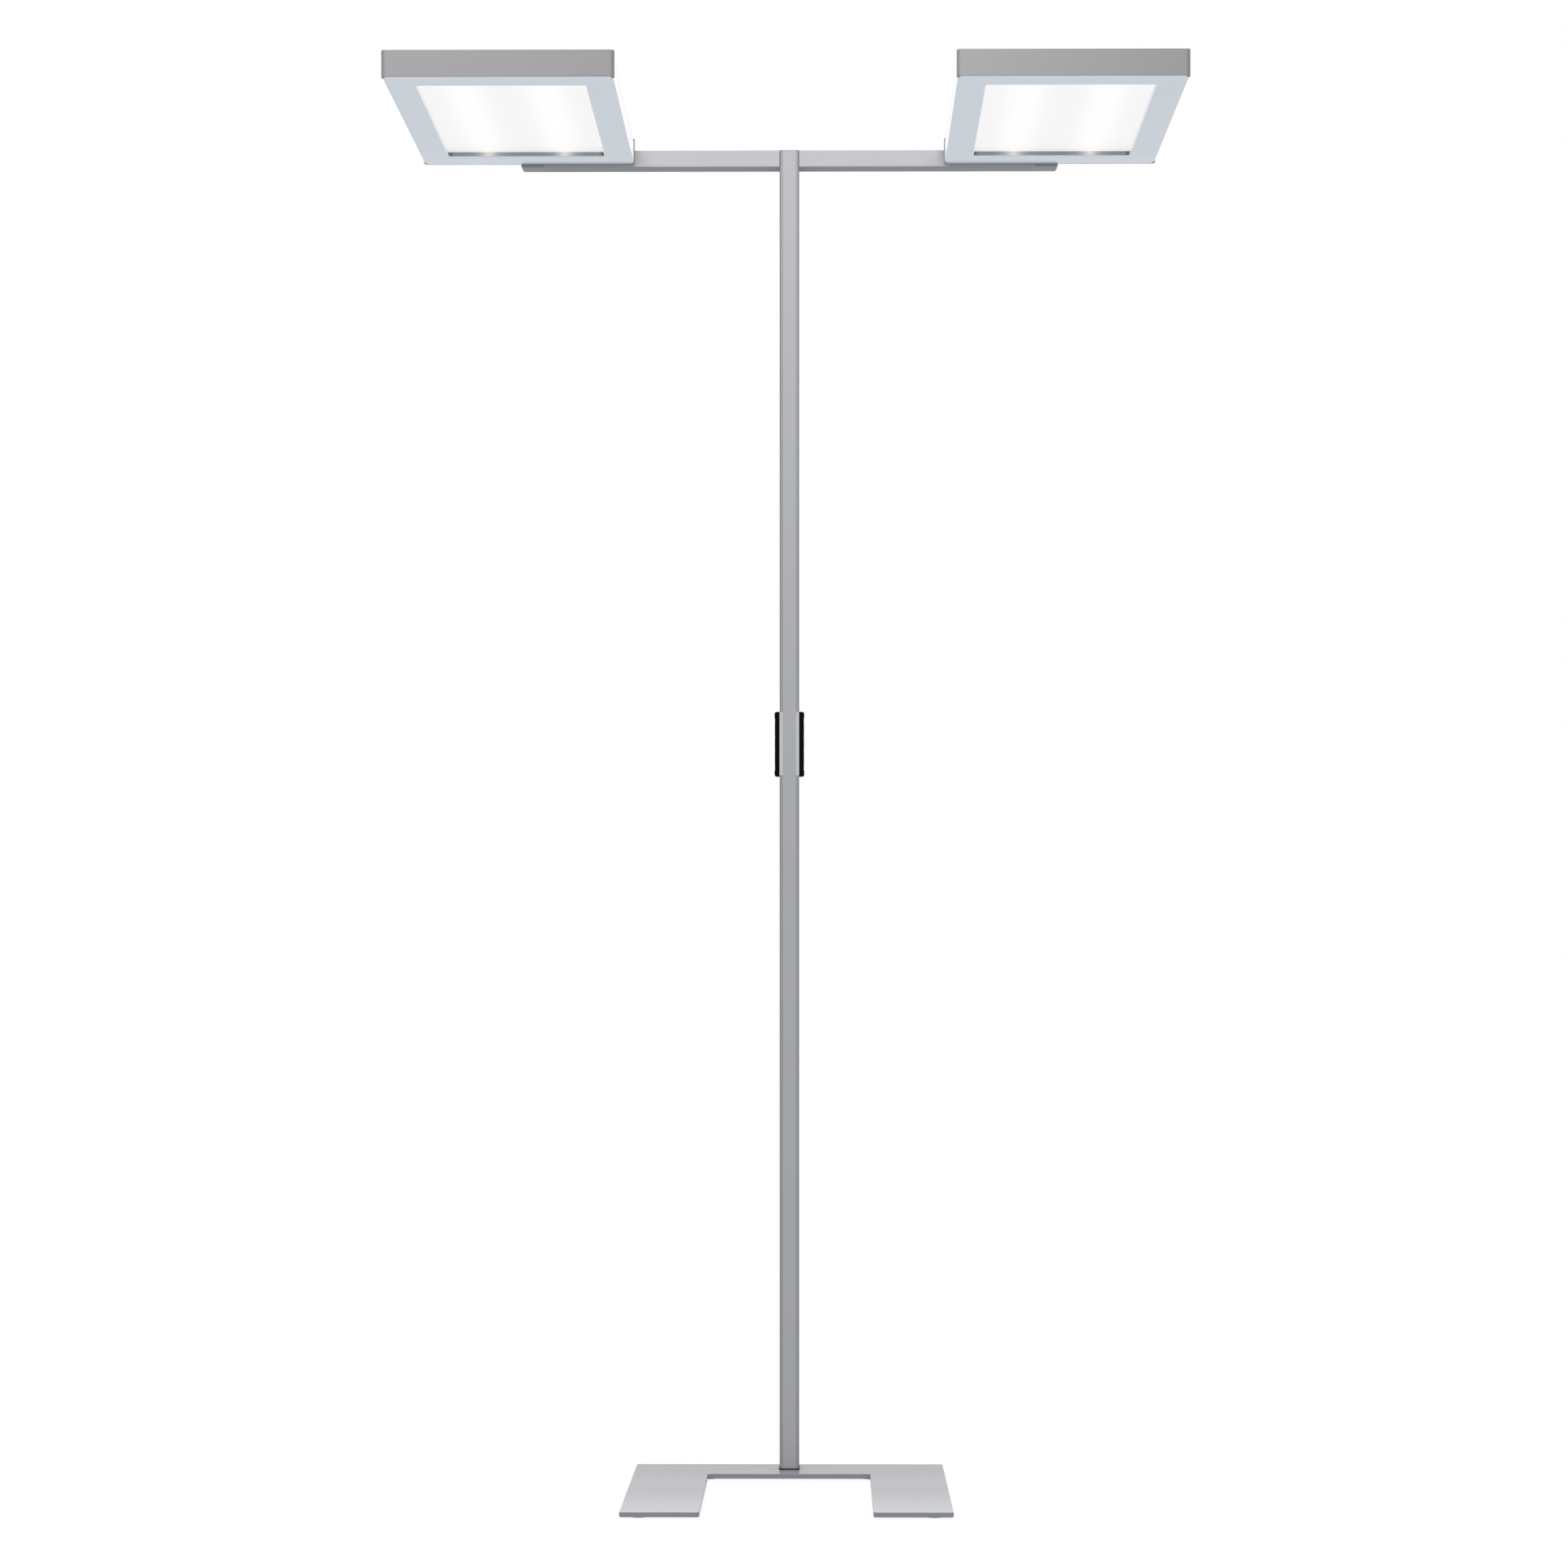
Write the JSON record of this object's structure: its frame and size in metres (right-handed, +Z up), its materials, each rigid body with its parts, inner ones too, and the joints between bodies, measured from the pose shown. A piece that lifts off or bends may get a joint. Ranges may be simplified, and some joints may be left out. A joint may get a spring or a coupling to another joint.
{
  "type": "office floor lamp",
  "caption": "Twin-head office floor lamp: U-shaped flat foot, slim post, cross arm, flat heads with recessed light windows and key pads on both sides of the post.",
  "frame": {"origin": "on the floor, under the middle of the lamp's outline", "axes": "+Z up, +X to the right seen from the front, +Y towards the back; the heads and the legs of the foot point along -Y"},
  "size_m": [1.065, 0.6576, 1.95],
  "materials": {
    "foot_paint": "fine-textured silver-grey powder coat",
    "post_aluminium": "satin silver-grey lacquer on aluminium extrusion",
    "frame_aluminium": "satin warm grey lacquer on aluminium extrusion",
    "bracket_casting": "satin grey lacquer on a die casting",
    "panel_paint": "matt light grey paint on sheet steel",
    "polished_aluminium": "polished reflector sheet",
    "plain_steel": "zinc-plated steel",
    "screw_steel": "zinc-plated screws",
    "opal_diffuser": "white microprismatic diffuser, lit from behind",
    "clear_cover": "clear frosted cover",
    "lamp_glass": "white phosphor-coated lamp tubes",
    "white_plastic": "moulded white plastic",
    "black_plastic": "fine-grained black plastic",
    "key_plastic": "soft black key caps",
    "glide_plastic": "dark plastic glides",
    "black_rubber": "black rubber grommet",
    "circuit_board": "green circuit board",
    "lens_plastic": "light guide"
  },
  "bodies": {
    "lamp": {"base_plate": "foot_paint", "base_glides": "glide_plastic", "base_screws": "screw_steel", "post_foot_ring": "black_plastic", "foot_block": "plain_steel", "foot_block_screws": "screw_steel", "cable_gland": "black_rubber", "post": "post_aluminium", "post_cap": "post_aluminium", "arm_joiner": "plain_steel", "joiner_screws": "screw_steel", "arm_left": "post_aluminium", "arm_right": "post_aluminium", "head_bracket_left": "bracket_casting", "head_bracket_right": "bracket_casting", "head_bolts_left": "screw_steel", "head_bolts_right": "screw_steel", "backing_plate_left": "plain_steel", "backing_plate_right": "plain_steel", "head_frame_left": "frame_aluminium", "head_frame_right": "frame_aluminium", "bottom_panel_left": "panel_paint", "bottom_panel_right": "panel_paint", "panel_screws_left": "screw_steel", "panel_screws_right": "screw_steel", "window_trim_left": "polished_aluminium", "window_trim_right": "polished_aluminium", "diffuser_left": "opal_diffuser", "diffuser_right": "opal_diffuser", "reflector_left": "polished_aluminium", "reflector_right": "polished_aluminium", "top_cover_left": "clear_cover", "top_cover_right": "clear_cover", "lamps_left": "lamp_glass", "lamps_right": "lamp_glass", "lamp_holders_left": "white_plastic", "lamp_holders_right": "white_plastic", "lamp_saddles_left": "white_plastic", "lamp_saddles_right": "white_plastic", "ballast_left": "plain_steel", "ballast_right": "plain_steel", "terminal_block_left": "white_plastic", "terminal_block_right": "white_plastic", "control_plate_left": "black_plastic", "control_plate_right": "black_plastic", "control_screws_left": "screw_steel", "control_screws_right": "screw_steel", "control_board_left": "circuit_board", "control_board_right": "circuit_board", "control_housing_left": "black_plastic", "control_housing_right": "black_plastic", "status_lens_left": "lens_plastic", "status_lens_right": "lens_plastic"},
    "up_key_left": {"key_up_left": "key_plastic"},
    "power_key_left": {"key_power_left": "key_plastic"},
    "down_key_left": {"key_down_left": "key_plastic"},
    "up_key_right": {"key_up_right": "key_plastic"},
    "power_key_right": {"key_power_right": "key_plastic"},
    "down_key_right": {"key_down_right": "key_plastic"}
  },
  "joints": [
    {"name": "up_key_left", "type": "slide", "parent": "lamp", "child": "up_key_left", "axis": [1, 0, 0], "range_m": [0, 0.0005], "stiffness_N_per_m": 400},
    {"name": "power_key_left", "type": "slide", "parent": "lamp", "child": "power_key_left", "axis": [1, 0, 0], "range_m": [0, 0.0005], "stiffness_N_per_m": 400},
    {"name": "down_key_left", "type": "slide", "parent": "lamp", "child": "down_key_left", "axis": [1, 0, 0], "range_m": [0, 0.0005], "stiffness_N_per_m": 400},
    {"name": "up_key_right", "type": "slide", "parent": "lamp", "child": "up_key_right", "axis": [-1, 0, 0], "range_m": [0, 0.0005], "stiffness_N_per_m": 400},
    {"name": "power_key_right", "type": "slide", "parent": "lamp", "child": "power_key_right", "axis": [-1, 0, 0], "range_m": [0, 0.0005], "stiffness_N_per_m": 400},
    {"name": "down_key_right", "type": "slide", "parent": "lamp", "child": "down_key_right", "axis": [-1, 0, 0], "range_m": [0, 0.0005], "stiffness_N_per_m": 400}
  ]
}
